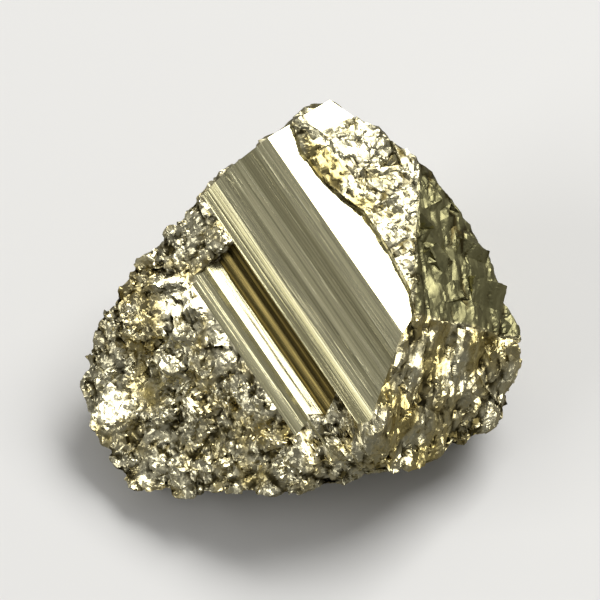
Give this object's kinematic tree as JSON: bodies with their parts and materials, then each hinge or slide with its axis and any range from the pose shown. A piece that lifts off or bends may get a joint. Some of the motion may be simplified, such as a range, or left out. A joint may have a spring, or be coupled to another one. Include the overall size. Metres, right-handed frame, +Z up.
{
  "type": "pyrite specimen",
  "caption": "Rough hand specimen of massive pyrite with broken grainy faces, a band of striated crystal faces stepping down its top, and a flat base to rest on.",
  "frame": {"origin": "on the surface that the specimen rests on, below the middle of its bounding box", "axes": "+Z up, -Y the side that the picture is taken from, +X to its right along the specimen's longest side"},
  "size_m": [0.0398, 0.0354, 0.0228],
  "materials": {
    "pyrite": "pale brass-grey metallic mineral: mirror-flat crystal faces with fine striations, broken grainy faces that glitter, golden brown tarnish in the cracks"
  },
  "bodies": {
    "root": {"pyrite_specimen": "pyrite"}
  },
  "joints": []
}
